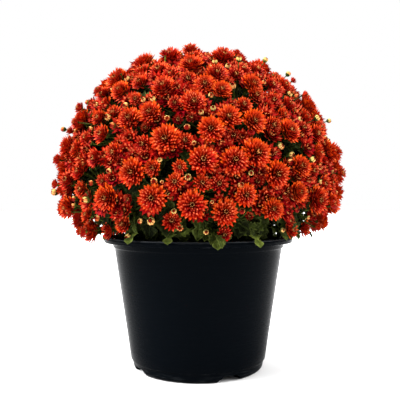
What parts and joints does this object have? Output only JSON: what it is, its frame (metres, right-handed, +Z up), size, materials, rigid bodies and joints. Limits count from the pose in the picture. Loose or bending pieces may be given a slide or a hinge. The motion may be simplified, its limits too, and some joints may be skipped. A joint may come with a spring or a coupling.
{
  "type": "pot chrysanthemum",
  "caption": "Garden mum in full bloom: a dome of orange-red double blooms, buds and lobed leaves over a plain black mum pan with a rim flange and drained foot.",
  "frame": {"origin": "centre of the pot's flat base, where it rests", "axes": "+Z up along the pot's axis, -Y towards the front viewer, +X to their right"},
  "size_m": [0.3838, 0.3857, 0.4287],
  "materials": {
    "black_plastic": "semi-gloss injection moulded",
    "potting_mix": "dark crumbly peat and bark, matte",
    "leaf": "matte green leaf and stem",
    "petal": "velvety orange-red petal, deeper red at its base"
  },
  "bodies": {
    "root": {"pot": "black_plastic", "soil": "potting_mix", "leafy_stem_1": "leaf", "leafy_stem_2": "leaf", "leafy_stem_3": "leaf", "leafy_stem_4": "leaf", "leafy_stem_5": "leaf", "leafy_stem_6": "leaf", "leafy_stem_7": "leaf", "leafy_stem_8": "leaf", "leafy_stem_9": "leaf", "bloom_spray_01": "petal", "bloom_spray_02": "petal", "bloom_spray_03": "petal", "bloom_spray_04": "petal", "bloom_spray_05": "petal", "bloom_spray_06": "petal", "bloom_spray_07": "petal", "bloom_spray_08": "petal", "bloom_spray_09": "petal", "bloom_spray_10": "petal", "bloom_spray_11": "petal", "bloom_spray_12": "petal", "bloom_spray_13": "petal", "bloom_spray_14": "petal", "bloom_spray_15": "petal", "bloom_spray_16": "petal", "bloom_spray_17": "petal", "bloom_spray_18": "petal", "bloom_spray_19": "petal", "bloom_spray_20": "petal", "bloom_spray_21": "petal", "bloom_spray_22": "petal", "bloom_spray_23": "petal", "bloom_spray_24": "petal", "bloom_spray_25": "petal", "bloom_spray_26": "petal", "bloom_spray_27": "petal", "bloom_spray_28": "petal", "bloom_spray_29": "petal", "bloom_spray_30": "petal", "bloom_spray_31": "petal", "bloom_spray_32": "petal", "bloom_spray_33": "petal", "bloom_spray_34": "petal", "bloom_spray_35": "petal", "bloom_spray_36": "petal", "bloom_spray_37": "petal", "bloom_spray_38": "petal", "bloom_spray_39": "petal", "bloom_spray_40": "petal", "bloom_spray_41": "petal", "bloom_spray_42": "petal", "bloom_spray_43": "petal", "bloom_spray_44": "petal", "bloom_spray_45": "petal", "bloom_spray_46": "petal", "bloom_spray_47": "petal", "bloom_spray_48": "petal"}
  },
  "joints": []
}
